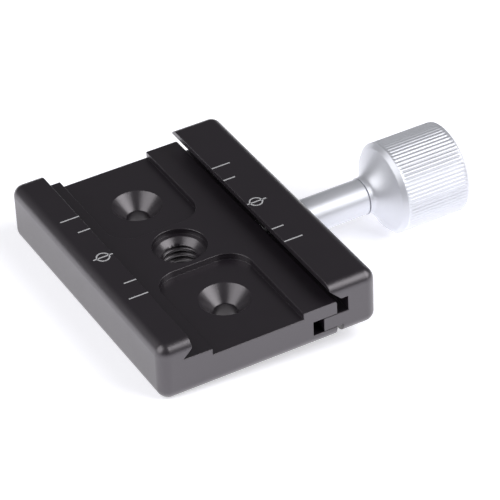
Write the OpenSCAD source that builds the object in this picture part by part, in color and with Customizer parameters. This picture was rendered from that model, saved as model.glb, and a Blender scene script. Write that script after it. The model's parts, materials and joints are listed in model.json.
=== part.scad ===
// Quick release clamp with a screw knob, for a 38 mm dovetail camera plate.
// Origin: axis of the middle threaded hole, at the underside of the base.
// X runs across the dovetail towards the knob, Y along the dovetail, Z up.

/* [Base] */
// Length of both jaws along the dovetail
body_len = 75; // [64:1:100]
// Height of the jaws above the underside
body_h = 14.75; // [14.3:0.05:16]
// Height of the floor that the camera plate rests on
floor_h = 10.3; // [10:0.05:10.5]
// Distance from the hole axis to the fixed jaw's outer face
fixed_side_w = 25; // [24:0.1:28]
// Distance from the hole axis to the foot of the fixed flank
fixed_foot_w = 19.3; // [18.5:0.05:19.8]
// How far the fixed flank leans in over the floor
fixed_lean = 2.35; // [1.8:0.05:2.8]
// Distance from the hole axis to the base's open side
open_side_w = 19.75; // [19.3:0.05:20.5]
// Width of each end pocket in the floor
pocket_w = 23.1; // [20:0.1:24]
// Distance of the pockets' middle from the hole axis, towards the moving jaw
pocket_shift = -0.45; // [-0.6:0.05:0]
// Depth of the end pockets below the floor
pocket_depth = 1.65; // [1:0.05:1.8]
// Radius of each pocket's inner corners
pocket_corner_r = 6; // [3:0.5:8]
// Width of the bridge between the two pockets, along the dovetail
bridge_w = 16; // [14:0.5:20]

/* [Groove and tongue] */
// Height of the ledge under the groove
ledge_h = 3.1; // [2.85:0.05:3.15]
// Height of the groove
groove_h = 3.75; // [3.5:0.05:3.9]
// Depth of the groove into the base's open side
groove_depth = 6.2; // [5.8:0.05:6.5]
// Clearance of the tongue below and above
tongue_gap = 0.12; // [0.05:0.01:0.2]
// Length of the tongue inside the groove at rest
tongue_len = 3.45; // [3:0.05:3.6]

/* [Holes in the floor] */
// Radius of the middle hole's thread at its crests (3/8-16 UNC)
tripod_minor_r = 3.97; // [3.9:0.01:4.05]
// Radius of the recess around the middle hole
tripod_recess_r = 6.5; // [6.1:0.1:7]
// Depth of the recess around the middle hole
tripod_recess_depth = 1.45; // [1:0.05:2]
// Radius of the middle hole's countersink at the recess floor
tripod_sink_r = 5.5; // [4.6:0.1:6]
// Distance between the two countersunk holes
screw_hole_spacing = 42.4; // [40:0.1:48]
// Radius of each countersunk hole's bore (M5 clearance)
screw_hole_r = 2.65; // [2.6:0.05:2.8]
// Radius of each countersink at the pocket floor
screw_sink_r = 6.1; // [5.2:0.1:6.3]
// Chamfer where each countersunk hole meets the underside
under_chamfer = 0.4; // [0.2:0.1:0.6]

/* [Moving jaw] */
// Gap between the base's open side and the jaw above the foot, at rest
relief_w = 2.9; // [2.6:0.05:3.2]
// Height of the relief slot's top above the underside
relief_top_h = 10.6; // [10.55:0.05:10.9]
// How far the moving flank's foot stands out over the relief slot
relief_lip = 1.8; // [1.3:0.05:1.9]
// How far the moving flank leans in over the floor
moving_lean = 2.75; // [2:0.05:3]
// Thickness of the jaw from the relief slot to its outer face
jaw_wall = 7.75; // [7:0.05:9]
// Height of the jaw's underside above the base's underside
jaw_lift = 0.3; // [0.2:0.05:0.4]
// Distance from the base's open side to the jaw's lower block, at rest
notch_w = 1.6; // [1.55:0.05:2]

/* [Edges] */
// Radius of all outer edges and corners of both jaws
edge_r = 2.8; // [1.5:0.1:2.85]
// Radius of the floor's edge beside the relief slot
floor_edge_r = 0.7; // [0.3:0.1:1]
// Radius of the lower edge on the base's open side
ledge_edge_r = 0.4; // [0.2:0.1:0.8]

/* [Clamp screw] */
// Height of the screw's axis above the underside
screw_z = 5.2; // [5.1:0.05:5.3]
// Radius of the clamp screw (M5)
screw_r = 2.5; // [2.5:0.01:2.55]
// Length of the screw inside the base at rest, from the open side
screw_engage = 10.8; // [9:0.1:11]
// Length of the screw beyond the jaw's outer face
screw_out = 36; // [30:0.5:38]
// Running clearance around the screw
screw_gap = 0.05; // [0.03:0.01:0.08]
// Clearance around the screw in the jaw
jaw_bore_gap = 0.2; // [0.1:0.05:0.3]
// Outer radius of the retaining ring
ring_r = 3.3; // [3.1:0.05:3.4]
// Thickness of the retaining ring
ring_t = 0.5; // [0.4:0.05:0.6]
// Depth of the ring's groove in the screw
ring_groove = 0.4; // [0.3:0.05:0.5]

/* [Sleeve and washers] */
// Outer radius of the sleeve
sleeve_r = 4.4; // [4:0.05:4.45]
// Length of the sleeve
sleeve_len = 17.5; // [12:0.1:24]
// Thickness of the plastic slip washer
slip_washer_t = 0.4; // [0.3:0.1:1]
// Thickness of the steel thrust washer
thrust_washer_t = 0.4; // [0.3:0.1:1]
// Outer radius of both washers
washer_r = 4.1; // [3.6:0.05:4.2]

/* [Knob] */
// Radius of the knob over its ridges
knob_r = 11.25; // [10.5:0.05:14]
// Overall length of the knob
knob_len = 23.4; // [20:0.1:30]
// Length from the knob's neck to the ridged rim
shoulder_len = 6.4; // [5.8:0.1:7.5]
// Width of the smooth bevel between the knob's bell and its ridged rim
shoulder_edge = 0.9; // [0.5:0.1:1.2]
// Angle of the knob's bell to its axis
cone_angle = 56; // [53:1:62]
// Fillet radius at the foot of the cone
neck_fillet_r = 1.5; // [0.5:0.1:1.8]
// Radius of the knob's neck
neck_r = 4.6; // [4.5:0.05:4.9]
// Chamfer at the knob's outer end
rim_chamfer = 0.5; // [0.4:0.05:0.9]
// Number of ridges around the knob
ridge_count = 72; // [48:1:90]
// Depth of the grooves between the ridges
ridge_depth = 0.36; // [0.2:0.02:0.4]
// Length of the knob's set screw (M3)
set_screw_len = 6; // [4:0.5:7]
// Radius of the knob's set screw
set_screw_r = 1.5; // [1.25:0.05:1.5]

/* [Guide pins and springs] */
// Distance from each end of the jaws to its guide pin
pin_inset = 7.5; // [6.5:0.5:8]
// Radius of each guide pin
pin_r = 1; // [0.8:0.05:1.1]
// Length of each guide pin
pin_len = 18; // [16:0.5:18.5]
// Length of each guide pin inside the base, from the groove's wall
pin_seat = 6; // [5:0.5:7]
// Running clearance of each guide pin in the jaw
pin_gap = 0.05; // [0.03:0.01:0.08]
// Distance from each end of the jaws to its return spring
spring_inset = 25.5; // [22:0.5:26]
// Outer radius of each return spring
spring_r = 1.4; // [1.2:0.05:1.45]
// Wire radius of each return spring
spring_wire_r = 0.2; // [0.15:0.01:0.22]
// Depth of each spring's bore behind the groove's wall
spring_seat = 4.5; // [3.5:0.1:5]
// Number of working turns in each spring
spring_turns = 5; // [4:1:6]

/* [Hidden] */

$fn = 96;
over = 1;
press_gap = 0.02;
end_room = 0.7;
ring_room = 0.3;
ring_back_room = 0.2;
spring_room = 0.2;
black_finish = "#26262a";
silver_finish = "#d9dadc";
steel_finish = "#a6a8ac";

half_len = body_len / 2;
groove_x = open_side_w - groove_depth;
groove_top = ledge_h + groove_h;
pocket_z = floor_h - pocket_depth;
tongue_low = ledge_h + tongue_gap;
tongue_top = groove_top - tongue_gap;
tongue_x = open_side_w - tongue_len;
tongue_mid_z = (tongue_low + tongue_top) / 2;
jaw_in_x = open_side_w + relief_w;
jaw_out_x = jaw_in_x + jaw_wall;
tip_x = jaw_in_x - relief_lip;
moving_lip_x = tip_x - moving_lean;
jaw_foot_x = open_side_w + notch_w;
screw_in_x = open_side_w - screw_engage;
screw_out_x = jaw_out_x + screw_out;
screw_bore_x = groove_x - pin_seat - end_room;
ring_pocket_r = ring_r + ring_room;
ring_x = jaw_in_x - ring_t - ring_back_room;
sleeve_x = jaw_out_x + slip_washer_t + thrust_washer_t;
knob_x = sleeve_x + sleeve_len;
set_screw_x = knob_x + shoulder_len + (knob_len - shoulder_len) / 2;
spring_bore_r = spring_r + spring_room;
spring_len = tongue_x - groove_x + spring_seat;
closed_turn_rise = 2.1 * spring_wire_r;
spring_end_room = 2.2 * spring_wire_r;
spring_pitch = (spring_len - 2 * closed_turn_rise - spring_end_room) / spring_turns;
pin_jaw_depth = 2.2;
pin_y = half_len - pin_inset;
spring_y = half_len - spring_inset;

// A bar along Z that takes off a square corner and leaves a quarter round.
// The corner is at the origin and the solid lies on its -X, -Y side.
module corner_cutter(len, r) {
  difference() {
    translate([-r, -r, -len / 2]) cube([r + over, r + over, len]);
    translate([-r, -r, -len / 2 - over]) cylinder(r = r, h = len + 2 * over);
  }
}

// Turns a shape drawn for the +X, +Y, +Z corner to the corner with these signs
module to_corner(sx, sy, sz) {
  mirror([sx < 0 ? 1 : 0, 0, 0])
    mirror([0, sy < 0 ? 1 : 0, 0])
      mirror([0, 0, sz < 0 ? 1 : 0])
        children();
}

// Rounds an edge along Y with this radius; sx and sz point out of the solid
module round_along_y(x, z, sx, sz, r) {
  translate([x, 0, z]) to_corner(sx, 1, sz) rotate([90, 0, 0]) corner_cutter(body_len + 2 * over, r);
}

// Rounds both upright edges of one outer side; sx points out of the solid
module round_uprights(x, sx) {
  for (side = [-1, 1])
    translate([x, side * half_len, body_h / 2])
      to_corner(sx, side, 1) corner_cutter(body_h * 2, edge_r);
}

// Rounds the edges of both ends between two places along X; sz points out of the solid
module round_ends(x0, x1, z, sz) {
  for (side = [-1, 1])
    translate([(x0 + x1) / 2, side * half_len, z])
      to_corner(1, side, sz) rotate([0, -90, 0]) corner_cutter(x1 - x0, edge_r);
}

// Leaves a ball at both outer corners of one side, where three rounded edges meet
module round_corners(x, z, sx, sz) {
  for (side = [-1, 1])
    translate([x, side * half_len, z]) to_corner(sx, side, sz) translate([-edge_r, -edge_r, -edge_r])
      difference() {
        cube(edge_r + over);
        sphere(r = edge_r);
      }
}

// Extrudes an outline drawn in X and Z along the whole dovetail
module along_dovetail() {
  translate([0, half_len, 0]) rotate([90, 0, 0]) linear_extrude(body_len) children();
}

// Lays a solid drawn along +Z onto the screw's axis, starting at x
module on_screw_axis(x) {
  translate([x, 0, screw_z]) rotate([0, 90, 0]) children();
}

module base_outline() {
  polygon([
    [-fixed_side_w, 0],
    [open_side_w, 0],
    [open_side_w, ledge_h],
    [groove_x, ledge_h],
    [groove_x, groove_top],
    [open_side_w, groove_top],
    [open_side_w, floor_h],
    [-fixed_foot_w, floor_h],
    [-fixed_foot_w + fixed_lean, floor_h + fixed_lean],
    [-fixed_foot_w + fixed_lean, body_h],
    [-fixed_side_w, body_h]
  ]);
}

// One pocket in the floor, open at the +Y end, with round inner corners
module end_pocket() {
  half_w = pocket_w / 2;
  start = bridge_w / 2;
  translate([pocket_shift, 0, pocket_z]) linear_extrude(pocket_depth + over) {
    translate([-half_w, start + pocket_corner_r]) square([pocket_w, half_len]);
    translate([-half_w + pocket_corner_r, start])
      square([pocket_w - 2 * pocket_corner_r, pocket_corner_r + over]);
    for (side = [-1, 1])
      translate([side * (half_w - pocket_corner_r), start + pocket_corner_r])
        circle(r = pocket_corner_r);
  }
}

// A through hole along Z with a 90 degree countersink whose rim is at z
module countersunk_hole(z, bore_r, sink_r) {
  sink_depth = sink_r - bore_r;
  translate([0, 0, -over]) cylinder(r = bore_r, h = z + over);
  translate([0, 0, z - sink_depth])
    cylinder(r1 = bore_r, r2 = sink_r + over, h = sink_depth + over);
}

module screw_hole() {
  countersunk_hole(pocket_z, screw_hole_r, screw_sink_r);
  translate([0, 0, -over])
    cylinder(r1 = screw_hole_r + under_chamfer + over, r2 = screw_hole_r, h = under_chamfer + over);
}

module tripod_hole() {
  recess_z = floor_h - tripod_recess_depth;
  countersunk_hole(recess_z, tripod_minor_r, tripod_sink_r);
  translate([0, 0, recess_z]) cylinder(r = tripod_recess_r, h = tripod_recess_depth + over);
}

module base_edges() {
  lip_x = -fixed_foot_w + fixed_lean;
  round_uprights(-fixed_side_w, -1);
  round_ends(-fixed_side_w - over, lip_x + over, body_h, 1);
  round_ends(-fixed_side_w - over, open_side_w + over, 0, -1);
  round_along_y(-fixed_side_w, body_h, -1, 1, edge_r);
  round_along_y(-fixed_side_w, 0, -1, -1, edge_r);
  round_corners(-fixed_side_w, body_h, -1, 1);
  round_corners(-fixed_side_w, 0, -1, -1);
  round_along_y(open_side_w, 0, 1, -1, ledge_edge_r);
  round_along_y(open_side_w, floor_h, 1, 1, floor_edge_r);
}

module base() {
  color(black_finish) difference() {
    along_dovetail() base_outline();
    end_pocket();
    mirror([0, 1, 0]) end_pocket();
    tripod_hole();
    for (side = [-1, 1])
      translate([0, side * screw_hole_spacing / 2, 0]) screw_hole();
    on_screw_axis(screw_bore_x) cylinder(r = screw_r + screw_gap, h = groove_depth + pin_seat + end_room + over);
    for (side = [-1, 1]) {
      guide_bore(side, groove_x - pin_seat, pin_seat + over, pin_r);
      spring_bore(side);
    }
    base_edges();
  }
}

// A bore for a guide pin, starting at x and running towards +X
module guide_bore(side, x, depth, r) {
  translate([x, side * pin_y, tongue_mid_z]) rotate([0, 90, 0]) cylinder(r = r, h = depth);
}

module spring_bore(side) {
  translate([groove_x - spring_seat, side * spring_y, tongue_mid_z])
    rotate([0, 90, 0]) cylinder(r = spring_bore_r, h = spring_seat + over);
}

module jaw_outline() {
  polygon([
    [tongue_x, tongue_low],
    [jaw_foot_x, tongue_low],
    [jaw_foot_x, jaw_lift],
    [jaw_out_x, jaw_lift],
    [jaw_out_x, body_h],
    [moving_lip_x, body_h],
    [moving_lip_x, relief_top_h + moving_lean],
    [tip_x, relief_top_h],
    [jaw_in_x, relief_top_h],
    [jaw_in_x, tongue_top],
    [tongue_x, tongue_top]
  ]);
}

module jaw_edges() {
  round_uprights(jaw_out_x, 1);
  round_ends(moving_lip_x - over, jaw_out_x + over, body_h, 1);
  round_ends(jaw_foot_x - over, jaw_out_x + over, jaw_lift, -1);
  round_along_y(jaw_out_x, body_h, 1, 1, edge_r);
  round_along_y(jaw_out_x, jaw_lift, 1, -1, edge_r);
  round_corners(jaw_out_x, body_h, 1, 1);
  round_corners(jaw_out_x, jaw_lift, 1, -1);
}

module moving_jaw() {
  bore_start = tongue_x - over;
  color(black_finish) difference() {
    along_dovetail() jaw_outline();
    on_screw_axis(bore_start)
      cylinder(r = screw_r + jaw_bore_gap, h = jaw_out_x - bore_start + over);
    on_screw_axis(bore_start)
      cylinder(r = ring_pocket_r, h = ring_x + ring_t - bore_start);
    for (side = [-1, 1])
      guide_bore(side, bore_start, pin_end_x() + pin_jaw_depth - bore_start, pin_r + pin_gap);
    jaw_edges();
  }
}

function pin_end_x() = groove_x - pin_seat + pin_len;

module clamp_screw() {
  length = screw_out_x - screw_in_x;
  tip = 0.5;
  color(steel_finish) on_screw_axis(screw_in_x) difference() {
    union() {
      cylinder(r1 = screw_r - tip, r2 = screw_r, h = tip);
      translate([0, 0, tip]) cylinder(r = screw_r, h = length - 2 * tip);
      translate([0, 0, length - tip]) cylinder(r1 = screw_r, r2 = screw_r - tip, h = tip);
    }
    translate([0, 0, ring_x - screw_in_x]) difference() {
      cylinder(r = screw_r + over, h = ring_t);
      translate([0, 0, -over]) cylinder(r = screw_r - ring_groove, h = ring_t + 2 * over);
    }
  }
}

// A snap ring in the screw's groove, open at the top
module retaining_ring() {
  mouth = 2.4;
  gap = 0.03;
  color(steel_finish) on_screw_axis(ring_x + gap) difference() {
    cylinder(r = ring_r, h = ring_t - 2 * gap);
    translate([0, 0, -over])
      cylinder(r = screw_r - ring_groove + gap, h = ring_t + 2 * over);
    translate([-ring_r - over, -mouth / 2, -over])
      cube([ring_r + over, mouth, ring_t + 2 * over]);
  }
}

module washer(x, thickness) {
  on_screw_axis(x) difference() {
    cylinder(r = washer_r, h = thickness);
    translate([0, 0, -over]) cylinder(r = screw_r + screw_gap, h = thickness + 2 * over);
  }
}

module slip_washer() {
  color("#efece2") washer(jaw_out_x, slip_washer_t);
}

module thrust_washer() {
  color(steel_finish) washer(jaw_out_x + slip_washer_t, thrust_washer_t);
}

module knob_sleeve() {
  edge = 0.25;
  color(silver_finish) on_screw_axis(sleeve_x) difference() {
    union() {
      cylinder(r1 = sleeve_r - edge, r2 = sleeve_r, h = edge);
      translate([0, 0, edge]) cylinder(r = sleeve_r, h = sleeve_len - 2 * edge);
      translate([0, 0, sleeve_len - edge]) cylinder(r1 = sleeve_r, r2 = sleeve_r - edge, h = edge);
    }
    translate([0, 0, -over]) cylinder(r = screw_r + screw_gap, h = sleeve_len + 2 * over);
  }
}

// Half section of the knob: X is the radius and Y the distance from its neck
module knob_section() {
  bell_end = shoulder_len - shoulder_edge;
  cone_rise = knob_r - shoulder_edge - neck_r;
  cone_start = bell_end - cone_rise / tan(cone_angle);
  fillet_run = neck_fillet_r * tan(cone_angle / 2);
  polygon([
    [0, 0],
    [neck_r, 0],
    [neck_r, cone_start],
    [neck_r + cone_rise, bell_end],
    [knob_r, shoulder_len],
    [knob_r, knob_len - rim_chamfer],
    [knob_r - rim_chamfer, knob_len],
    [0, knob_len]
  ]);
  difference() {
    polygon([
      [neck_r, cone_start],
      [neck_r, cone_start - fillet_run],
      [neck_r + neck_fillet_r, cone_start - fillet_run],
      [neck_r + fillet_run * sin(cone_angle), cone_start + fillet_run * cos(cone_angle)]
    ]);
    translate([neck_r + neck_fillet_r, cone_start - fillet_run]) circle(r = neck_fillet_r);
  }
}

// One groove of the rim, cut as a square bar turned on edge
module rim_groove() {
  translate([knob_r, 0, shoulder_len - over])
    cylinder(r = ridge_depth, h = knob_len - shoulder_len + 2 * over, $fn = 4);
}

module knob() {
  bore_len = screw_out_x - knob_x + end_room;
  color(silver_finish) on_screw_axis(knob_x) difference() {
    rotate_extrude() knob_section();
    translate([0, 0, -over]) cylinder(r = screw_r + screw_gap, h = bore_len + over);
    for (i = [0 : ridge_count - 1])
      rotate([0, 0, (i + 0.5) * 360 / ridge_count]) rim_groove();
    translate([0, 0, set_screw_x - knob_x])
      rotate([-90, 0, 0]) cylinder(r = set_screw_r + screw_gap, h = knob_r + over);
  }
}

module knob_set_screw() {
  socket_r = set_screw_r / 2;
  socket_depth = 1.5;
  color(steel_finish) translate([set_screw_x, screw_r + press_gap, screw_z])
    rotate([-90, 0, 0]) difference() {
      cylinder(r = set_screw_r, h = set_screw_len);
      translate([0, 0, set_screw_len - socket_depth])
        cylinder(r = socket_r, h = socket_depth + over, $fn = 6);
    }
}

module guide_pin(side) {
  tip = 0.3;
  translate([groove_x - pin_seat, side * pin_y, tongue_mid_z]) rotate([0, 90, 0]) {
    cylinder(r = pin_r, h = pin_len - tip);
    translate([0, 0, pin_len - tip]) cylinder(r1 = pin_r, r2 = pin_r - tip, h = tip);
  }
}

// Height along the spring's axis at a turn count, with one closed turn at each end
function coil_rise(turn) =
  turn < 1 ? turn * closed_turn_rise
  : turn < 1 + spring_turns ? closed_turn_rise + (turn - 1) * spring_pitch
  : (turn - spring_turns) * closed_turn_rise + spring_turns * spring_pitch;

// A round wire swept along the coil, with flat caps at its two ends
module return_spring(side) {
  steps = 14;
  sides = 6;
  coil_r = spring_r - spring_wire_r;
  turns = spring_turns + 2;
  rings = turns * steps;
  points = [
    for (i = [0 : rings])
      for (k = [0 : sides - 1])
        let (
          a = i * 360 / steps,
          b = k * 360 / sides,
          r = coil_r + spring_wire_r * cos(b)
        )
        [r * cos(a), r * sin(a), coil_rise(i / steps) + spring_wire_r * sin(b)]
  ];
  walls = [
    for (i = [0 : rings - 1])
      for (k = [0 : sides - 1])
        let (n = (k + 1) % sides)
        [i * sides + k, i * sides + n, (i + 1) * sides + n, (i + 1) * sides + k]
  ];
  first_cap = [for (k = [sides - 1 : -1 : 0]) k];
  last_cap = [for (k = [0 : sides - 1]) rings * sides + k];
  translate([groove_x - spring_seat + spring_wire_r, side * spring_y, tongue_mid_z])
    rotate([0, 90, 0])
      polyhedron(points = points, faces = concat(walls, [first_cap, last_cap]), convexity = 8);
}

base();
moving_jaw();
clamp_screw();
retaining_ring();
slip_washer();
thrust_washer();
knob_sleeve();
knob();
knob_set_screw();
color(steel_finish) guide_pin(-1);  // guide_pin_front
color(steel_finish) guide_pin(1);  // guide_pin_rear
color(steel_finish) return_spring(-1);  // return_spring_front
color(steel_finish) return_spring(1);  // return_spring_rear
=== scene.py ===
"""Looks of a quick release clamp with a screw knob, dressed over its CAD frame."""

import json
import math

import bmesh
import bpy
from mathutils import Matrix, Vector


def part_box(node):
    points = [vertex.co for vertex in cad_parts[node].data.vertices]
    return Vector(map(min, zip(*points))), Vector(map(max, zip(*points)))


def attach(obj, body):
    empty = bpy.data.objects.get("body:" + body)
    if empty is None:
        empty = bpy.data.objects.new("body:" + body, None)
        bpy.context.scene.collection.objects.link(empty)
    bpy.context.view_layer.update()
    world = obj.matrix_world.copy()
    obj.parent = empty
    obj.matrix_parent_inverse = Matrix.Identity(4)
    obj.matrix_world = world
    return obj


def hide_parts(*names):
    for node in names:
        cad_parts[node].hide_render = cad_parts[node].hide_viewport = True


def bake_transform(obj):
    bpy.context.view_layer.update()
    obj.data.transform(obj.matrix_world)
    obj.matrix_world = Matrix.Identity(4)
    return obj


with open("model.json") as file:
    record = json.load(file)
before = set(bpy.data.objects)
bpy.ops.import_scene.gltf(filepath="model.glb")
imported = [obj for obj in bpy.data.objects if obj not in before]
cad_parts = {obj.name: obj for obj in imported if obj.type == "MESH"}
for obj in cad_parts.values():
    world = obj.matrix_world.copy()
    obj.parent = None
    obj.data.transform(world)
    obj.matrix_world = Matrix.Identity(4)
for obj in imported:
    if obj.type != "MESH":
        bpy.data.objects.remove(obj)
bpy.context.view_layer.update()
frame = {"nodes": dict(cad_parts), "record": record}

MM = 0.001
NODES = frame["nodes"]

# Places on the clamp, in metres, as in its CAD frame
BASE_LOW, BASE_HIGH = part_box("base")
JAW_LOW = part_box("moving_jaw")[0]
SCREW_LOW, SCREW_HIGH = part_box("clamp_screw")
KNOB_LOW, KNOB_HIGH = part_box("knob")
BODY_TOP = BASE_HIGH.z
SCREW_AXIS = Vector((0, 0, (KNOB_LOW.z + KNOB_HIGH.z) / 2))
FIXED_LIP_X = -16.95 * MM
MOVING_LIP_X = 18.1 * MM
OUTER_EDGE_RADIUS = 2.8 * MM
BROKEN_EDGE = 0.14 * MM

# The middle hole's 3/8-16 thread and the screw's M5 thread
TRIPOD_BORE_RADIUS = 3.97 * MM
TRIPOD_BORE_TOP = 7.32 * MM
TRIPOD_PITCH, TRIPOD_DEPTH = 1.5875 * MM, 0.8 * MM
SCREW_PITCH, SCREW_DEPTH = 0.8 * MM, 0.45 * MM

# The knob's rim, in mm: its start from the neck's face, its end chamfer and its grooves' run-out
RIM_START = 6.4
RIM_CHAMFER = 0.5
RUN_OUT = 0.9
RIDGES = 72
RIM_START_X = KNOB_LOW.x + RIM_START * MM
KNOB_RADIUS = (KNOB_HIGH.z - KNOB_LOW.z) / 2

# Distances below which points are merged, and angles above which an edge is sharp
SAME_POINT = 0.0001 * MM
SHORTEST_EDGE = 0.002 * MM
SEAM_WIDTH = 0.004 * MM
FLAT_ANGLE = math.radians(0.5)
BROKEN_EDGE_ANGLE = math.radians(28)
SHADED_SHARP_ANGLE = math.radians(35)

# What the finishes share: the mottle's size, the tone of its dark patches, a lathe's ring width
MOTTLE_SIZE = 7 * MM
MOTTLE_TONE = 0.88
LATHE_PITCH = 0.12 * MM


# Node building

def new_material(name):
    material = bpy.data.materials.new(name)
    material.use_nodes = True
    material.node_tree.nodes.clear()
    return material


def add_node(tree, kind, values=None, links=None, **settings):
    """Adds a node; values set its inputs, and links feed them from other sockets."""
    node = tree.nodes.new(kind)
    for key, value in settings.items():
        setattr(node, key, value)
    for key, value in (values or {}).items():
        node.inputs[key].default_value = value
    for key, socket in (links or {}).items():
        tree.links.new(socket, node.inputs[key])
    return node


def new_shader_group(name, inputs, outputs):
    """A shader node group; inputs give each label's usual number, outputs its socket type."""
    group = bpy.data.node_groups.new(name, "ShaderNodeTree")
    for label, number in inputs.items():
        socket = group.interface.new_socket(
            label, in_out="INPUT", socket_type="NodeSocketFloat"
        )
        socket.default_value = number
    for label, kind in outputs.items():
        group.interface.new_socket(label, in_out="OUTPUT", socket_type=kind)
    return group


def math_node(tree, operation, first, second=None, clamp=False):
    """A Math node's output; each operand is a socket or a number."""
    node = tree.nodes.new("ShaderNodeMath")
    node.operation = operation
    node.use_clamp = clamp
    for index, operand in enumerate((first, second)):
        if operand is None:
            continue
        if isinstance(operand, (int, float)):
            node.inputs[index].default_value = operand
        else:
            tree.links.new(operand, node.inputs[index])
    return node.outputs[0]


# Shared effects

def fine_grain_group():
    """Grain of a blasted or anodised surface: a soft mottle and a height for bump."""
    group = new_shader_group(
        "fine_grain", {"Grain Size": 0.25 * MM, "Mottle Size": MOTTLE_SIZE},
        {"Mottle": "NodeSocketFloat", "Height": "NodeSocketFloat"},
    )
    start = add_node(group, "NodeGroupInput")
    place = add_node(group, "ShaderNodeTexCoord").outputs["Object"]
    grain_scale = math_node(group, "DIVIDE", 1.0, start.outputs["Grain Size"])
    mottle_scale = math_node(group, "DIVIDE", 1.0, start.outputs["Mottle Size"])
    grain = add_node(
        group, "ShaderNodeTexNoise", {"Detail": 2.0}, {"Vector": place, "Scale": grain_scale}
    )
    mottle = add_node(
        group, "ShaderNodeTexNoise", {"Detail": 3.0}, {"Vector": place, "Scale": mottle_scale}
    )
    add_node(
        group, "NodeGroupOutput", None,
        {"Mottle": mottle.outputs["Fac"], "Height": grain.outputs["Fac"]},
    )
    return group


def painted_edge_highlight_group():
    """A painted highlight's mask on sharp edges, and the normal that softens them."""
    group = new_shader_group(
        "painted_edge_highlight", {"Radius": 0.3 * MM},
        {"Mask": "NodeSocketFloat", "Normal": "NodeSocketVector"},
    )
    start = add_node(group, "NodeGroupInput")
    rounded = add_node(
        group, "ShaderNodeBevel", None, {"Radius": start.outputs["Radius"]}, samples=6
    )
    facing = add_node(group, "ShaderNodeNewGeometry").outputs["Normal"]
    likeness = add_node(
        group, "ShaderNodeVectorMath", None, {0: rounded.outputs["Normal"], 1: facing},
        operation="DOT_PRODUCT",
    )
    turn = math_node(group, "SUBTRACT", 1.0, likeness.outputs["Value"], clamp=True)
    # Painted highlight: the further the rounded normal turns from the face's, the more of the
    # lighter edge colour
    highlight_gain = 4.0
    highlight_mask = math_node(group, "MULTIPLY", turn, highlight_gain, clamp=True)
    add_node(group, "NodeGroupOutput", None, {"Mask": highlight_mask, "Normal": rounded.outputs["Normal"]})
    return group


def lathe_mark_group():
    """Fine rings of a turned surface about the screw's axis."""
    group = new_shader_group(
        "lathe_marks", {"Pitch": LATHE_PITCH}, {"Height": "NodeSocketFloat"}
    )
    start = add_node(group, "NodeGroupInput")
    place = add_node(group, "ShaderNodeTexCoord").outputs["Object"]
    split = add_node(group, "ShaderNodeSeparateXYZ", None, {"Vector": place})
    side = math_node(group, "POWER", split.outputs["Y"], 2.0)
    lift = math_node(group, "SUBTRACT", split.outputs["Z"], SCREW_AXIS.z)
    lift = math_node(group, "POWER", lift, 2.0)
    radius = math_node(group, "SQRT", math_node(group, "ADD", side, lift))
    along = math_node(group, "ADD", split.outputs["X"], radius)
    rings = math_node(group, "DIVIDE", along, start.outputs["Pitch"])
    place_on_ring = add_node(group, "ShaderNodeCombineXYZ", None, {"X": rings})
    noise = add_node(
        group, "ShaderNodeTexNoise", {"Scale": 1.0, "Detail": 1.0},
        {"Vector": place_on_ring.outputs["Vector"]},
    )
    add_node(group, "NodeGroupOutput", None, {"Height": noise.outputs["Fac"]})
    return group


FINE_GRAIN = fine_grain_group()
PAINTED_EDGE_HIGHLIGHT = painted_edge_highlight_group()
LATHE_MARKS = lathe_mark_group()


def use_group(tree, group, **values):
    """Places a shared effect; each value goes to the input whose label it names."""
    node = tree.nodes.new("ShaderNodeGroup")
    node.node_tree = group
    for name, value in values.items():
        node.inputs[name.replace("_", " ")].default_value = value
    return node


def blend_colours(tree, amount, first, second):
    """A mixed colour; amount is a socket, first and second are colours or sockets."""
    mix = tree.nodes.new("ShaderNodeMix")
    mix.data_type = "RGBA"
    tree.links.new(amount, mix.inputs["Factor"])
    for name, value in (("A", first), ("B", second)):
        socket = next(s for s in mix.inputs if s.name == name and s.type == "RGBA")
        if isinstance(value, tuple):
            socket.default_value = (*value, 1.0)
        else:
            tree.links.new(value, socket)
    return next(s for s in mix.outputs if s.type == "RGBA")


def spread(tree, amount, low, high):
    """Maps a 0 to 1 socket onto the stretch from low to high."""
    node = add_node(
        tree, "ShaderNodeMapRange",
        {"From Min": 0.0, "From Max": 1.0, "To Min": low, "To Max": high}, {"Value": amount},
    )
    return node.outputs["Result"]


# Finishes

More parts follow.
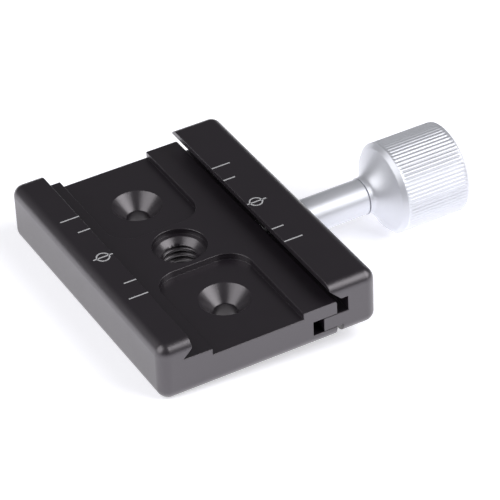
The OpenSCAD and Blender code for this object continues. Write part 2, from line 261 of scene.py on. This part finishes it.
def surface_finish(
    name, colour, edge_highlight_colour, roughness, grain_size, grain_depth, edge_radius,
    metallic=1.0, ior=1.5, turned=0.0, tint=(1, 1, 1),
):
    """A finish with grain, painted edge highlights and, where turned, the rings of a lathe. Sizes
    in mm.
    """
    material = new_material(name)
    tree = material.node_tree
    grain = use_group(tree, FINE_GRAIN, Grain_Size=grain_size * MM, Mottle_Size=MOTTLE_SIZE)
    edge = use_group(tree, PAINTED_EDGE_HIGHLIGHT, Radius=edge_radius * MM)
    low, high = roughness
    shade = tuple(MOTTLE_TONE * c for c in colour)
    mottled = blend_colours(tree, grain.outputs["Mottle"], shade, colour)
    # Painted highlight: sharp edges, hollow ones too, take the lighter edge colour
    base_colour = blend_colours(tree, edge.outputs["Mask"], mottled, edge_highlight_colour)
    bump = add_node(
        tree, "ShaderNodeBump", {"Strength": 0.5, "Distance": grain_depth * MM},
        {"Height": grain.outputs["Height"], "Normal": edge.outputs["Normal"]},
    )
    if turned:
        rings = use_group(tree, LATHE_MARKS, Pitch=LATHE_PITCH)
        bump = add_node(
            tree, "ShaderNodeBump", {"Strength": 0.6, "Distance": turned * MM},
            {"Height": rings.outputs["Height"], "Normal": bump.outputs["Normal"]},
        )
    surface = add_node(
        tree, "ShaderNodeBsdfPrincipled",
        {"Metallic": metallic, "IOR": ior, "Specular Tint": (*tint, 1)},
        {
            "Base Color": base_colour,
            "Roughness": spread(tree, grain.outputs["Mottle"], low, high),
            "Normal": bump.outputs["Normal"],
        },
    )
    add_node(tree, "ShaderNodeOutputMaterial", None, {"Surface": surface.outputs["BSDF"]})
    return material


# Each finish's edge colour is a painted highlight, lighter than the finish, on its sharp edges
FINISHES = {
    "black_anodised": surface_finish(
        "black_anodised", colour=(0.0085, 0.006, 0.0092), edge_highlight_colour=(0.022, 0.02, 0.025),
        roughness=(0.32, 0.38), grain_size=0.22, grain_depth=0.004, edge_radius=0.1,
        metallic=0.0, ior=1.8, tint=(1, 0.95, 1),
    ),
    "silver_anodised": surface_finish(
        "silver_anodised", colour=(0.62, 0.63, 0.68), edge_highlight_colour=(0.67, 0.675, 0.72),
        roughness=(0.36, 0.44), grain_size=0.18, grain_depth=0.003, edge_radius=0.12,
        metallic=0.5, turned=0.003,
    ),
    "steel": surface_finish(
        "turned_steel", colour=(0.34, 0.34, 0.35), edge_highlight_colour=(0.5, 0.5, 0.51),
        roughness=(0.32, 0.42), grain_size=0.15, grain_depth=0.002, edge_radius=0.08,
        turned=0.002,
    ),
    "slip_plastic": surface_finish(
        "slip_plastic", colour=(0.80, 0.77, 0.68), edge_highlight_colour=(0.84, 0.81, 0.72),
        roughness=(0.42, 0.52), grain_size=0.3, grain_depth=0.002, edge_radius=0.08,
        metallic=0.0,
    ),
    "index_engraving": surface_finish(
        "index_engraving", colour=(0.46, 0.46, 0.475), edge_highlight_colour=(0.5, 0.5, 0.51),
        roughness=(0.5, 0.62), grain_size=0.12, grain_depth=0.004, edge_radius=0.02,
        metallic=0.0,
    ),
}


def dress_frame():
    """Gives each carried-over node the finish that its record names."""
    for part in frame["record"]["subparts"]:
        node = NODES[part["node"]]
        node.data.materials.clear()
        node.data.materials.append(FINISHES[part["material_slot"]])


# Meshes

def new_object(name, data):
    """An object in the scene that holds a mesh, a lamp or a camera."""
    item = bpy.data.objects.new(name, data)
    bpy.context.scene.collection.objects.link(item)
    return item


def mesh_from(shape, name):
    """Turns a worked shape into a mesh, and lets go of the shape."""
    mesh = bpy.data.meshes.new(name)
    shape.to_mesh(mesh)
    shape.free()
    return mesh


def merged_copy(node):
    """A CAD node's shape with its loose triangles joined into flat faces."""
    shape = bmesh.new()
    shape.from_mesh(NODES[node].data)
    bmesh.ops.remove_doubles(shape, verts=shape.verts, dist=SAME_POINT)
    bmesh.ops.dissolve_limit(
        shape, angle_limit=FLAT_ANGLE, verts=shape.verts, edges=shape.edges
    )
    return shape


def break_sharp_edges(shape, keep=lambda point: False):
    """Rounds the sharp outward edges a little, except where keep says so."""
    sharp = [
        edge for edge in shape.edges
        if edge.is_manifold and edge.is_convex and edge.calc_face_angle(0) > BROKEN_EDGE_ANGLE
        and not any(keep(corner.co) for corner in edge.verts)
    ]
    bmesh.ops.bevel(
        shape, geom=sharp, offset=BROKEN_EDGE, offset_type="OFFSET", segments=2, profile=0.5,
        affect="EDGES", clamp_overlap=False,
    )
    bmesh.ops.remove_doubles(shape, verts=shape.verts, dist=SHORTEST_EDGE)


def angles_round(columns):
    return [2 * math.pi * column / columns for column in range(columns)]


def along_screw(along, side, height):
    """A place that is given from the screw's axis."""
    return along, side, height + SCREW_AXIS.z


def up_tripod_bore(along, side, height):
    """A place that is given from the middle hole's axis."""
    return side, -height, along


def add_ring(shape, place, along, reach, columns):
    """Adds a ring of points about an axis; place turns (along, side, height) to a point."""
    return [
        shape.verts.new(place(along, reach * math.cos(angle), reach * math.sin(angle)))
        for angle in angles_round(columns)
    ]


def join_rings(shape, ring, following):
    """Closes the band between two rings of points."""
    for column, point in enumerate(ring):
        after = (column + 1) % len(ring)
        shape.faces.new((point, ring[after], following[after], following[column]))


def thread_groove(turns, pitch, depth):
    """Depth of a 60 degree thread's groove at a place counted in turns along its axis."""
    half_root = pitch / 16
    flank = math.tan(math.radians(30))
    from_root = abs(turns - math.floor(turns) - 0.5) * pitch
    return min(max(depth - (from_root - half_root) / flank, 0), depth)


def add_threaded_wall(shape, place, start, end, radius, pitch, depth, columns, is_bore):
    """Adds a cylinder's wall with a right-handed thread, as rings of points from start to end.

    A bore's thread is cut outwards from its radius, and a screw's inwards.
    """
    rows_in_turn, run_out = 20, pitch / 3
    rows = round((end - start) / pitch * rows_in_turn)
    rings = []
    for row in range(rows + 1):
        along = start + (end - start) * row / rows
        fade = min(1, min(along - start, end - along) / run_out)
        ring = []
        for angle in angles_round(columns):
            groove = fade * thread_groove(along / pitch - angle / (2 * math.pi), pitch, depth)
            reach = radius + groove if is_bore else radius - groove
            point = place(along, reach * math.cos(angle), reach * math.sin(angle))
            ring.append(shape.verts.new(point))
        rings.append(ring)
    for ring, following in zip(rings, rings[1:]):
        join_rings(shape, ring, following)
    return rings


def lathe(outline, start, columns):
    """Turns an outline in mm, with both of its ends on the axis, round the screw's axis."""
    shape = bmesh.new()
    rings = [
        add_ring(shape, along_screw, start + along * MM, reach * MM, columns)
        for along, reach in outline[1:-1]
    ]
    for ring, following in zip(rings, rings[1:]):
        join_rings(shape, ring, following)
    for pole, ring in ((outline[0], rings[0]), (outline[-1], rings[-1])):
        tip = shape.verts.new(along_screw(start + pole[0] * MM, 0, 0))
        for column, point in enumerate(ring):
            shape.faces.new((tip, point, ring[(column + 1) % columns]))
    bmesh.ops.recalc_face_normals(shape, faces=shape.faces)
    return shape


# Pieces on their bodies

def bake_modifiers(piece):
    """Turns what the modifiers make into the piece's own plain mesh."""
    graph = bpy.context.evaluated_depsgraph_get()
    mesh = bpy.data.meshes.new_from_object(
        piece.evaluated_get(graph), preserve_all_data_layers=True, depsgraph=graph
    )
    mesh.name = piece.name
    piece.modifiers.clear()
    piece.data = mesh


def settle_piece(piece, slot, body, *stands_for):
    """Puts a piece on its body; where body is (first, second, start, end), it only bakes the
    piece's place in.
    """
    if isinstance(body, str):
        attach(piece, body)
    else:
        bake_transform(piece)
    if stands_for:
        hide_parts(*stands_for)


def finish_piece(shape, name, slot, body, *stands_for):
    """Makes a shape a smooth-shaded piece on a body, with the finish of its slot."""
    mesh = mesh_from(shape, name)
    mesh.shade_smooth()
    mesh.set_sharp_from_angle(angle=SHADED_SHARP_ANGLE)
    piece = new_object(name, mesh)
    weighting = piece.modifiers.new("weighted_normals", "WEIGHTED_NORMAL")
    weighting.keep_sharp = True
    bake_modifiers(piece)
    piece.data.materials.append(FINISHES[slot])
    settle_piece(piece, slot, body, *stands_for)


# Base, jaw, screw, springs and washer

def from_tripod_axis(point):
    return math.hypot(point.x, point.y)


def near_tripod_bore(point):
    return from_tripod_axis(point) < TRIPOD_BORE_RADIUS + 0.05 * MM


def make_base():
    """The base with its edges broken and the middle hole threaded."""
    wall_error = 0.02 * MM
    shape = merged_copy("base")
    wall = [
        face for face in shape.faces
        if all(
            abs(from_tripod_axis(corner.co) - TRIPOD_BORE_RADIUS) < wall_error
            for corner in face.verts
        )
    ]
    bmesh.ops.delete(shape, geom=wall, context="FACES")
    add_threaded_wall(
        shape, up_tripod_bore, 0, TRIPOD_BORE_TOP, TRIPOD_BORE_RADIUS, TRIPOD_PITCH,
        TRIPOD_DEPTH, columns=48, is_bore=True,
    )
    bmesh.ops.remove_doubles(shape, verts=shape.verts, dist=SEAM_WIDTH)
    break_sharp_edges(shape, near_tripod_bore)
    bmesh.ops.recalc_face_normals(shape, faces=shape.faces)
    finish_piece(shape, "base_body", "black_anodised", "base", "base")


def make_moving_jaw():
    """The moving jaw with its edges broken."""
    shape = merged_copy("moving_jaw")
    break_sharp_edges(shape)
    finish_piece(shape, "jaw_body", "black_anodised", "jaw", "moving_jaw")


def make_clamp_screw():
    """The clamp screw with its M5 thread, its retaining ring's groove and its chamfered ends."""
    radius, chamfer, columns = SCREW_HIGH.y, 0.5 * MM, 40
    thread_start, thread_end = SCREW_LOW.x + chamfer, JAW_LOW.x + 5.1 * MM
    groove_start, groove_end, groove_radius = 21.95 * MM, 22.45 * MM, 2.1 * MM
    shape = bmesh.new()
    rings = add_threaded_wall(
        shape, along_screw, thread_start, thread_end, radius, SCREW_PITCH, SCREW_DEPTH,
        columns, is_bore=False,
    )
    plain_end = (
        (groove_start, radius), (groove_start, groove_radius), (groove_end, groove_radius),
        (groove_end, radius), (SCREW_HIGH.x - chamfer, radius), (SCREW_HIGH.x, radius - chamfer),
    )
    threaded_end = ((SCREW_LOW.x, radius - chamfer),)
    for ring, outline in ((rings[-1], plain_end), (rings[0], threaded_end)):
        for along, reach in outline:
            following = add_ring(shape, along_screw, along, reach, columns)
            join_rings(shape, ring, following)
            ring = following
        shape.faces.new(ring)
    bmesh.ops.recalc_face_normals(shape, faces=shape.faces)
    finish_piece(shape, "threaded_screw", "steel", "knob", "clamp_screw")


def make_return_springs():
    """The return springs, which lie between the base and the jaw."""
    for side in ("front", "rear"):
        node = "return_spring_" + side
        low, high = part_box(node)
        middle = (low + high) / 2
        ends = (low.x, middle.y, middle.z), (high.x, middle.y, middle.z)
        finish_piece(merged_copy(node), "coil_" + side, "steel", ("base", "jaw", *ends), node)


def make_thrust_washer():
    """The steel washer, a hair thinner so that it rubs freely on the slip washer."""
    hair, near_face = 0.01 * MM, 0.05 * MM
    shape = merged_copy("thrust_washer")
    inner_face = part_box("thrust_washer")[0].x
    for vert in shape.verts:
        if vert.co.x < inner_face + near_face:
            vert.co.x += hair
    finish_piece(shape, "polished_washer", "steel", "knob", "thrust_washer")


# Geometry Nodes trees

def new_geometry_tree(name, inputs):
    """A Geometry Nodes tree; inputs maps each label to its socket type."""
    tree = bpy.data.node_groups.new(name, "GeometryNodeTree")
    for label, kind in inputs.items():
        tree.interface.new_socket(label, in_out="INPUT", socket_type=kind)
    tree.interface.new_socket("Geometry", in_out="OUTPUT", socket_type="NodeSocketGeometry")
    return tree


def named_inputs(tree):
    """The sockets inside a tree that give the values of its inputs, by label."""
    start = add_node(tree, "NodeGroupInput")
    items = tree.interface.items_tree
    return {item.name: start.outputs[item.name] for item in items if item.in_out == "INPUT"}


def end_tree(tree, geometry, finish):
    """Ends a tree with plain geometry in one finish."""
    plain = add_node(tree, "GeometryNodeRealizeInstances", None, {"Geometry": geometry})
    finished = add_node(tree, "GeometryNodeSetMaterial", None, {
        "Geometry": plain.outputs[0], "Material": finish,
    })
    add_node(tree, "NodeGroupOutput", None, {"Geometry": finished.outputs[0]})


def add_rule(piece, tree, values):
    """Puts a Geometry Nodes tree on a piece, with a value for each labelled input."""
    modifier = piece.modifiers.new("rule", "NODES")
    modifier.node_group = tree
    for item in tree.interface.items_tree:
        if item.in_out == "INPUT" and item.name in values:
            modifier[item.identifier] = values[item.name]


# Index lines

def index_line_tree():
    """Bars across the jaw at mirrored places along it, and a ring on the middle one."""
    numbers = (
        "Lip", "Top", "Width", "Height", "Long Length", "Long Place", "Short Length",
        "Short Place", "Centre Length", "Ring Place", "Ring Radius", "Side",
    )
    tree = new_geometry_tree("index_lines", {
        **dict.fromkeys(numbers, "NodeSocketFloat"), "Finish": "NodeSocketMaterial",
    })
    value = named_inputs(tree)
    join = add_node(tree, "GeometryNodeJoinGeometry")
    for length, place in (("Long Length", "Long Place"), ("Short Length", "Short Place")):
        across = bar_middle(tree, value, value[length])
        low = add_node(tree, "ShaderNodeCombineXYZ", None, {
            "X": across, "Y": math_node(tree, "MULTIPLY", value[place], -1.0), "Z": value["Top"],
        })
        high = add_node(tree, "ShaderNodeCombineXYZ", None, {
            "X": across, "Y": value[place], "Z": value["Top"],
        })
        row = add_node(
            tree, "GeometryNodeMeshLine", {"Count": 2},
            {"Start Location": low.outputs[0], "Offset": high.outputs[0]}, mode="END_POINTS",
        )
        bars = add_node(tree, "GeometryNodeInstanceOnPoints", None, {
            "Points": row.outputs["Mesh"], "Instance": index_bar(tree, value, value[length]),
        })
        tree.links.new(bars.outputs["Instances"], join.inputs[0])
    middle = add_node(tree, "ShaderNodeCombineXYZ", None, {
        "X": bar_middle(tree, value, value["Centre Length"]), "Z": value["Top"],
    })
    centre = add_node(tree, "GeometryNodeTransform", None, {
        "Geometry": index_bar(tree, value, value["Centre Length"]),
        "Translation": middle.outputs[0],
    })
    tree.links.new(centre.outputs["Geometry"], join.inputs[0])
    tree.links.new(index_ring(tree, value), join.inputs[0])
    end_tree(tree, join.outputs[0], value["Finish"])
    return tree


def bar_middle(tree, value, length):
    """Place across the jaw of the middle of a bar that runs outwards from the lip."""
    half = math_node(tree, "MULTIPLY", length, 0.5)
    return math_node(tree, "ADD", value["Lip"], math_node(tree, "MULTIPLY", half, value["Side"]))


def index_bar(tree, value, length):
    """A bar that lies across the jaw, half sunk in its top."""
    size = add_node(tree, "ShaderNodeCombineXYZ", None, {
        "X": length, "Y": value["Width"], "Z": value["Height"],
    })
    return add_node(tree, "GeometryNodeMeshCube", None, {"Size": size.outputs[0]}).outputs["Mesh"]


def index_ring(tree, value):
    """A flat ring with the width and the height of the bars."""
    circle = add_node(
        tree, "GeometryNodeCurvePrimitiveCircle", {"Resolution": 40},
        {"Radius": value["Ring Radius"]},
    )
    section = add_node(tree, "GeometryNodeCurvePrimitiveQuadrilateral", None, {
        "Width": value["Width"], "Height": value["Height"],
    })
    ring = add_node(tree, "GeometryNodeCurveToMesh", None, {
        "Curve": circle.outputs["Curve"], "Profile Curve": section.outputs["Curve"],
    })
    across = math_node(tree, "MULTIPLY", value["Ring Place"], value["Side"])
    place = add_node(tree, "ShaderNodeCombineXYZ", None, {
        "X": math_node(tree, "ADD", value["Lip"], across), "Z": value["Top"],
    })
    return add_node(tree, "GeometryNodeTransform", None, {
        "Geometry": ring.outputs["Mesh"], "Translation": place.outputs[0],
    }).outputs["Geometry"]


INDEX_LINES = index_line_tree()


def make_index_lines(name, body, lip, side, ring_place):
    """One jaw's index lines and centre mark; side is 1 where they run along +X, and -1 along -X."""
    piece = new_object(name, bpy.data.meshes.new(name))
    add_rule(piece, INDEX_LINES, {
        "Lip": lip, "Side": side, "Top": BODY_TOP, "Width": 0.36 * MM, "Height": 0.04 * MM,
        "Long Length": 4.8 * MM, "Long Place": 17.02 * MM,
        "Short Length": 3.1 * MM, "Short Place": 11.34 * MM,
        "Centre Length": 5.0 * MM, "Ring Place": ring_place, "Ring Radius": 1.5 * MM,
        "Finish": FINISHES["index_engraving"],
    })
    bake_modifiers(piece)
    settle_piece(piece, "black_anodised", body)


# Knob

def ridge_tree():
    """Presses grooves along X into the wall that lies outside a radius."""
    numbers = ("Axis Height", "Inner Radius", "Depth", "Start", "End", "Run Out", "Ridges")
    tree = new_geometry_tree("ridged_rim", {
        "Geometry": "NodeSocketGeometry", **dict.fromkeys(numbers, "NodeSocketFloat"),
        "Finish": "NodeSocketMaterial",
    })
    value = named_inputs(tree)
    place = add_node(tree, "GeometryNodeInputPosition")
    parts = add_node(tree, "ShaderNodeSeparateXYZ", None, {"Vector": place.outputs[0]})
    along, across = parts.outputs["X"], parts.outputs["Y"]
    height = math_node(tree, "SUBTRACT", parts.outputs["Z"], value["Axis Height"])
    radial = add_node(tree, "ShaderNodeCombineXYZ", None, {"Y": across, "Z": height})
    reach, outwards = (
        add_node(tree, "ShaderNodeVectorMath", None, {0: radial.outputs[0]}, operation=operation)
        for operation in ("LENGTH", "NORMALIZE")
    )
    turn = math_node(tree, "MULTIPLY", math_node(tree, "ARCTAN2", height, across), value["Ridges"])
    wave = math_node(tree, "COSINE", turn)
    groove = math_node(tree, "MULTIPLY", math_node(tree, "ADD", wave, 1.0), 0.5)
    groove = math_node(tree, "POWER", groove, 2.0)
    into = math_node(tree, "SUBTRACT", along, value["Start"])
    into = math_node(tree, "DIVIDE", into, value["Run Out"], clamp=True)
    out = math_node(tree, "SUBTRACT", value["End"], along)
    out = math_node(tree, "DIVIDE", out, value["Run Out"], clamp=True)
    outside = math_node(tree, "GREATER_THAN", reach.outputs["Value"], value["Inner Radius"])
    amount = math_node(tree, "MULTIPLY", math_node(tree, "MULTIPLY", into, out), outside)
    depth = math_node(tree, "MULTIPLY", value["Depth"], -1.0)
    press = math_node(tree, "MULTIPLY", math_node(tree, "MULTIPLY", amount, groove), depth)
    offset = add_node(
        tree, "ShaderNodeVectorMath", None, {0: outwards.outputs[0], "Scale": press},
        operation="SCALE",
    )
    moved = add_node(tree, "GeometryNodeSetPosition", None, {
        "Geometry": value["Geometry"], "Offset": offset.outputs[0],
    })
    end_tree(tree, moved.outputs[0], value["Finish"])
    return tree


def knob_outline():
    """Half section of the knob: distances from the neck's face and radii, in mm."""
    length, bore_end, bore_radius = 23.4, 18.4, 2.55
    neck_radius, rim_radius, face_radius = 4.6, 11.248, 8
    bell_start, bell_end, bell_steps, flare = 0.9, 5.45, 20, 1.6
    bevel_radius = rim_radius - (RIM_START - bell_end)
    blunt = 0.06  # Reach of the small bevel on the bell's outer edge
    bell = []
    for step in range(1, bell_steps):
        part = step / bell_steps
        bell.append((
            bell_start + (bell_end - bell_start) * part,
            neck_radius + (bevel_radius - blunt - neck_radius) * part ** flare,
        ))
    run_steps = 4
    rim = [
        (RIM_START + RUN_OUT * step / run_steps, rim_radius) for step in range(run_steps + 1)
    ]
    tail = [
        (length - RIM_CHAMFER - RUN_OUT * step / run_steps, rim_radius)
        for step in range(run_steps, -1, -1)
    ]
    return [
        (bore_end, 0), (bore_end, bore_radius), (0, bore_radius),
        (0, neck_radius), (bell_start - 0.5, neck_radius),
        (bell_start - 0.15, neck_radius + 0.03), *bell,
        (bell_end - blunt, bevel_radius - 0.07), (bell_end + blunt, bevel_radius + 0.05),
        (RIM_START - 0.12, rim_radius - 0.12), *rim, *tail,
        (length, rim_radius - RIM_CHAMFER), (length, face_radius), (length, 0),
    ]


def set_screw_cutter():
    """A bar where the hole for the knob's set screw goes, from the bore to the rim."""
    radius, reach, sides = 1.55 * MM, 12.5 * MM, 40
    low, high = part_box("knob_set_screw")
    turn = Matrix.Rotation(math.radians(-90), 4, "X")
    move = Matrix.Translation(((low.x + high.x) / 2, reach / 2, SCREW_AXIS.z))
    shape = bmesh.new()
    bmesh.ops.create_cone(
        shape, cap_ends=True, segments=sides, radius1=radius, radius2=radius, depth=reach,
        matrix=move @ turn,
    )
    return new_object("set_screw_cutter", mesh_from(shape, "set_screw_cutter"))


def make_knob():
    """The knob with its ridged rim and the hole for its set screw."""
    columns = 8 * RIDGES
    shape = lathe(knob_outline(), KNOB_LOW.x, columns)
    piece = new_object("knob_shape", mesh_from(shape, "knob_shape"))
    add_rule(piece, ridge_tree(), {
        "Axis Height": SCREW_AXIS.z, "Inner Radius": 11.0 * MM, "Depth": 0.17 * MM,
        "Start": RIM_START_X, "End": KNOB_HIGH.x - RIM_CHAMFER * MM, "Run Out": RUN_OUT * MM,
        "Ridges": float(RIDGES), "Finish": FINISHES["silver_anodised"],
    })
    cutter = set_screw_cutter()
    hole = piece.modifiers.new("set_screw_hole", "BOOLEAN")
    hole.operation, hole.solver, hole.object = "DIFFERENCE", "EXACT", cutter
    bake_modifiers(piece)
    shape = bmesh.new()
    shape.from_mesh(piece.data)
    bpy.data.objects.remove(cutter)
    bpy.data.objects.remove(piece)
    finish_piece(shape, "ridged_knob", "silver_anodised", "knob", "knob")


# Stage and lights

def resting_tilt():
    """Angle by which the clamp leans when it lies on its lower left edge and the knob's rim."""
    edge = Vector((BASE_LOW.x + OUTER_EDGE_RADIUS, OUTER_EDGE_RADIUS))
    rim = Vector((RIM_START_X, SCREW_AXIS.z - KNOB_RADIUS))
    span = rim - edge
    return math.atan2(-span.y, span.x) - math.asin(OUTER_EDGE_RADIUS / span.length)


def add_floor():
    """The pale floor that the clamp lies on, at its resting tilt."""
    reach = 3.0
    tilt = resting_tilt()
    up = Vector((math.sin(tilt), 0, math.cos(tilt)))
    rim_foot = Vector((RIM_START_X, 0, SCREW_AXIS.z - KNOB_RADIUS))
    turn = Vector((0, 0, 1)).rotation_difference(up).to_matrix()
    corners = [
        turn @ Vector((x, y, 0)) + rim_foot
        for x, y in ((-reach, -reach), (reach, -reach), (reach, reach), (-reach, reach))
    ]
    mesh = bpy.data.meshes.new("floor")
    mesh.from_pydata(corners, [], [(0, 1, 2, 3)])
    mesh.materials.append(floor_finish())
    new_object("floor", mesh)


def floor_finish():
    """Lit paper that shows white and still takes a soft shadow; seen from below it is clear."""
    glow_on_clamp, glow_in_view = 0.9, 0.45
    material = new_material("floor_paper")
    tree = material.node_tree
    grain = add_node(
        tree, "ShaderNodeTexNoise", {"Scale": 900.0, "Detail": 3.0},
        {"Vector": add_node(tree, "ShaderNodeTexCoord").outputs["Object"]},
    )
    tone = blend_colours(tree, grain.outputs["Fac"], (0.84, 0.84, 0.90), (0.87, 0.87, 0.93))
    paper = add_node(tree, "ShaderNodeBsdfDiffuse", None, {"Color": tone})
    ray = add_node(tree, "ShaderNodeLightPath")
    dimming = math_node(
        tree, "MULTIPLY", ray.outputs["Is Camera Ray"], glow_on_clamp - glow_in_view
    )
    strength = math_node(tree, "SUBTRACT", glow_on_clamp, dimming)
    glow = add_node(
        tree, "ShaderNodeEmission", {"Color": (1, 1, 1, 1)}, {"Strength": strength}
    )
    lit = add_node(tree, "ShaderNodeAddShader", None, {0: paper.outputs[0], 1: glow.outputs[0]})
    side = add_node(tree, "ShaderNodeNewGeometry")
    clear = add_node(tree, "ShaderNodeBsdfTransparent")
    surface = add_node(tree, "ShaderNodeMixShader", None, {
        "Fac": side.outputs["Backfacing"], 1: lit.outputs[0], 2: clear.outputs[0],
    })
    add_node(tree, "ShaderNodeOutputMaterial", None, {"Surface": surface.outputs[0]})
    return material


def add_world():
    """A dim grey room behind the lamps, which the camera itself sees as white."""
    room_light = 0.15
    world = bpy.data.worlds.new("studio")
    world.use_nodes = True
    tree = world.node_tree
    room = tree.nodes["Background"]
    ray = add_node(tree, "ShaderNodeLightPath")
    seen = math_node(tree, "MULTIPLY", ray.outputs["Is Camera Ray"], 1 - room_light)
    tree.links.new(math_node(tree, "ADD", seen, room_light), room.inputs["Strength"])
    room.inputs["Color"].default_value = (0.98, 0.985, 1.0, 1)
    bpy.context.scene.world = world


def add_softbox(name, place, width, power):
    """A square area lamp that faces the clamp's middle."""
    aim = Vector((0.015, 0, 0))
    lamp = bpy.data.lights.new(name, "AREA")
    lamp.shape = "SQUARE"
    lamp.size = width
    lamp.energy = power
    holder = new_object(name, lamp)
    holder.location = place
    holder.rotation_mode = "QUATERNION"
    holder.rotation_quaternion = (aim - Vector(place)).to_track_quat("-Z", "Y")


# Camera, fitted to the edges and the outline of the clamp in the photograph

CAMERA_AZIMUTH = math.radians(-30.59)
CAMERA_ELEVATION = math.radians(34.52)
CAMERA_ROLL = math.radians(1.92)
CAMERA_TILT = math.radians(4.38)
CAMERA_TARGET = Vector((15.64, -4.87, 5.73)) * MM
CAMERA_DISTANCE = 690.4 * MM
CAMERA_LENS = 214.85


def add_camera():
    """The camera, which leans with the clamp and looks down on its near left corner."""
    azimuth, elevation, roll = CAMERA_AZIMUTH, CAMERA_ELEVATION, CAMERA_ROLL
    back = Vector((
        math.sin(azimuth) * math.cos(elevation),
        -math.cos(azimuth) * math.cos(elevation),
        math.sin(elevation),
    ))
    level = Vector((math.cos(azimuth), math.sin(azimuth), 0))
    above = back.cross(level)
    right = math.cos(roll) * level + math.sin(roll) * above
    up = math.cos(roll) * above - math.sin(roll) * level
    lean = Matrix.Rotation(CAMERA_TILT, 3, "Y")
    right, up, back = (lean @ axis for axis in (right, up, back))
    turn = Matrix((right, up, back)).transposed().to_4x4()
    camera = bpy.data.cameras.new("camera")
    camera.lens = CAMERA_LENS
    camera.sensor_width = 36.0
    camera.clip_start, camera.clip_end = 0.01, 20
    holder = new_object("camera", camera)
    holder.matrix_world = Matrix.Translation(CAMERA_TARGET + back * CAMERA_DISTANCE) @ turn
    bpy.context.scene.camera = holder


# The clamp

dress_frame()
make_base()
make_moving_jaw()
make_clamp_screw()
make_return_springs()
make_thrust_washer()
make_knob()
make_index_lines("fixed_jaw_index_lines", "base", FIXED_LIP_X, -1.0, 2.5 * MM)
make_index_lines("moving_jaw_index_lines", "jaw", MOVING_LIP_X, 1.0, 2.3 * MM)

# The studio

add_camera()
add_floor()
add_world()
add_softbox("right_softbox", (0.495, -0.384, 0.512), 0.64, 5.5)
add_softbox("left_softbox", (-0.592, 0.073, 0.5), 0.74, 4.8)
bpy.context.scene.view_settings.view_transform = "Standard"
